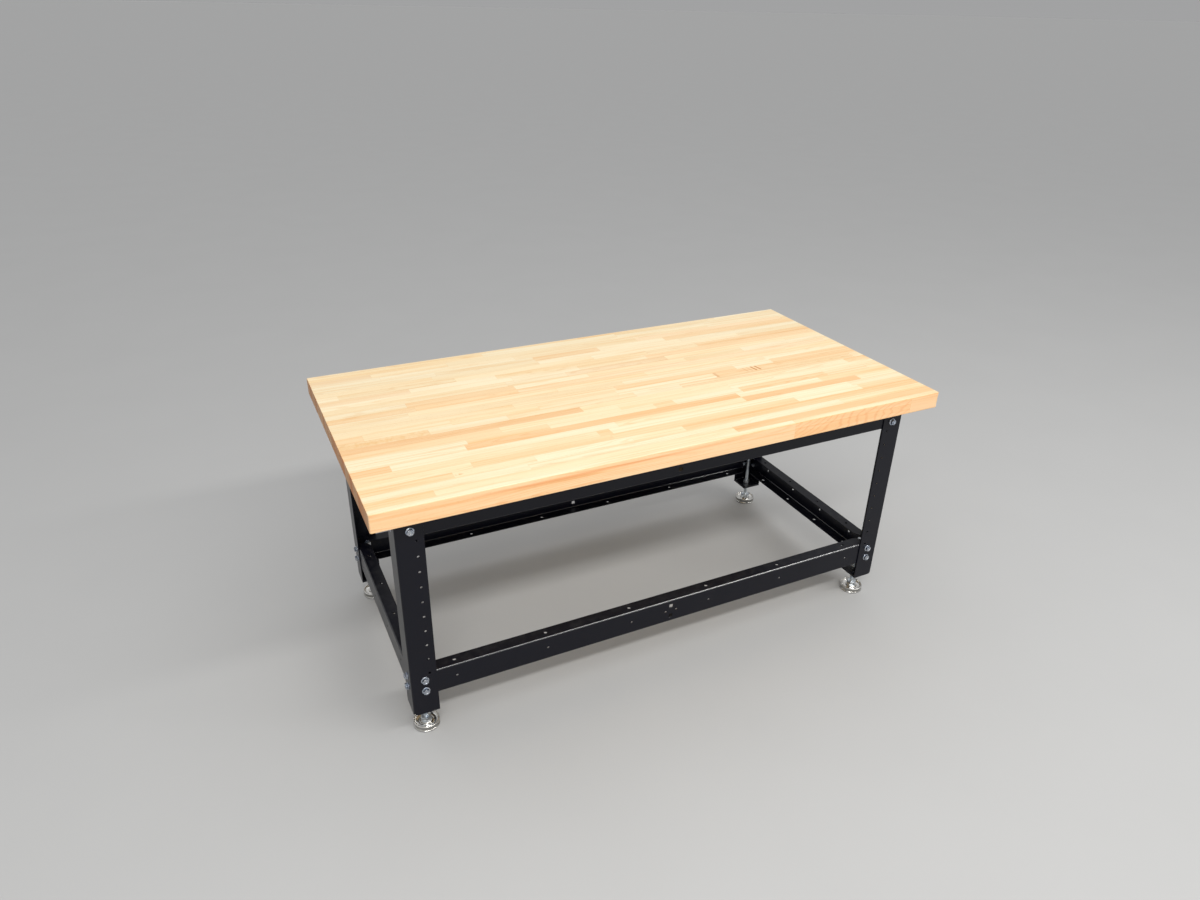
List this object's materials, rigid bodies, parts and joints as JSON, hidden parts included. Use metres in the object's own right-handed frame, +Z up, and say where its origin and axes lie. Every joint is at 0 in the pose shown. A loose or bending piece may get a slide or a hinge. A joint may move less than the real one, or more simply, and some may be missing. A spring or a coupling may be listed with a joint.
{
  "type": "assembly table",
  "caption": "Low workshop assembly table: thick maple top on a bolted frame of black formed-steel angle legs and channel rails, with screw-adjusted levelling feet.",
  "frame": {"origin": "on the floor under the middle of the top, midway between the four feet", "axes": "+X along the table's length to the right, +Y from the front long side to the rear one, +Z up"},
  "size_m": [1.524, 0.762, 0.681],
  "materials": {
    "maple": "oiled, sanded smooth",
    "black_powder_coat": "satin black powder coat",
    "zinc": "bright zinc plate",
    "nickel": "bright nickel plate"
  },
  "bodies": {
    "frame": {"table_top": "maple", "leg_front_left": "black_powder_coat", "leg_front_right": "black_powder_coat", "leg_rear_right": "black_powder_coat", "leg_rear_left": "black_powder_coat", "lower_rail_front": "black_powder_coat", "upper_rail_front": "black_powder_coat", "lower_rail_right": "black_powder_coat", "upper_rail_right": "black_powder_coat", "lower_rail_rear": "black_powder_coat", "upper_rail_rear": "black_powder_coat", "lower_rail_left": "black_powder_coat", "upper_rail_left": "black_powder_coat", "bolt_lower_front_left_1": "zinc", "bolt_lower_front_left_2": "zinc", "bolt_lower_front_right_1": "zinc", "bolt_lower_front_right_2": "zinc", "bolt_upper_front_left_1": "zinc", "bolt_upper_front_left_2": "zinc", "bolt_upper_front_right_1": "zinc", "bolt_upper_front_right_2": "zinc", "bolt_lower_right_front_1": "zinc", "bolt_lower_right_front_2": "zinc", "bolt_lower_right_rear_1": "zinc", "bolt_lower_right_rear_2": "zinc", "bolt_upper_right_front_1": "zinc", "bolt_upper_right_front_2": "zinc", "bolt_upper_right_rear_1": "zinc", "bolt_upper_right_rear_2": "zinc", "bolt_lower_rear_right_1": "zinc", "bolt_lower_rear_right_2": "zinc", "bolt_lower_rear_left_1": "zinc", "bolt_lower_rear_left_2": "zinc", "bolt_upper_rear_right_1": "zinc", "bolt_upper_rear_right_2": "zinc", "bolt_upper_rear_left_1": "zinc", "bolt_upper_rear_left_2": "zinc", "bolt_lower_left_rear_1": "zinc", "bolt_lower_left_rear_2": "zinc", "bolt_lower_left_front_1": "zinc", "bolt_lower_left_front_2": "zinc", "bolt_upper_left_rear_1": "zinc", "bolt_upper_left_rear_2": "zinc", "bolt_upper_left_front_1": "zinc", "bolt_upper_left_front_2": "zinc", "jam_nut_front_left": "zinc", "jam_nut_front_right": "zinc", "jam_nut_rear_right": "zinc", "jam_nut_rear_left": "zinc"},
    "pad_front_left": {"pad_front_left": "nickel"},
    "stem_front_left": {"stem_front_left": "zinc"},
    "pad_front_right": {"pad_front_right": "nickel"},
    "stem_front_right": {"stem_front_right": "zinc"},
    "pad_rear_right": {"pad_rear_right": "nickel"},
    "stem_rear_right": {"stem_rear_right": "zinc"},
    "pad_rear_left": {"pad_rear_left": "nickel"},
    "stem_rear_left": {"stem_rear_left": "zinc"}
  },
  "joints": [
    {"name": "level_front_left", "type": "slide", "parent": "frame", "child": "pad_front_left", "axis": [0, 0, 1], "range_m": [-0.085, 0.036]},
    {"name": "turn_front_left", "type": "hinge", "parent": "pad_front_left", "child": "stem_front_left", "pos_m": [-0.66985, -0.28885, 0.02], "axis": [0, 0, 1], "range_deg": [-15700, 6650]},
    {"name": "level_front_right", "type": "slide", "parent": "frame", "child": "pad_front_right", "axis": [0, 0, 1], "range_m": [-0.085, 0.036]},
    {"name": "turn_front_right", "type": "hinge", "parent": "pad_front_right", "child": "stem_front_right", "pos_m": [0.66985, -0.28885, 0.02], "axis": [0, 0, 1], "range_deg": [-15700, 6650]},
    {"name": "level_rear_right", "type": "slide", "parent": "frame", "child": "pad_rear_right", "axis": [0, 0, 1], "range_m": [-0.085, 0.036]},
    {"name": "turn_rear_right", "type": "hinge", "parent": "pad_rear_right", "child": "stem_rear_right", "pos_m": [0.66985, 0.28885, 0.02], "axis": [0, 0, 1], "range_deg": [-15700, 6650]},
    {"name": "level_rear_left", "type": "slide", "parent": "frame", "child": "pad_rear_left", "axis": [0, 0, 1], "range_m": [-0.085, 0.036]},
    {"name": "turn_rear_left", "type": "hinge", "parent": "pad_rear_left", "child": "stem_rear_left", "pos_m": [-0.66985, 0.28885, 0.02], "axis": [0, 0, 1], "range_deg": [-15700, 6650]}
  ],
  "couplings": [
    {"joint": "turn_front_left", "follows": "level_front_left", "rad_per_m": 3215.8},
    {"joint": "turn_front_right", "follows": "level_front_right", "rad_per_m": 3215.8},
    {"joint": "turn_rear_right", "follows": "level_rear_right", "rad_per_m": 3215.8},
    {"joint": "turn_rear_left", "follows": "level_rear_left", "rad_per_m": 3215.8}
  ]
}
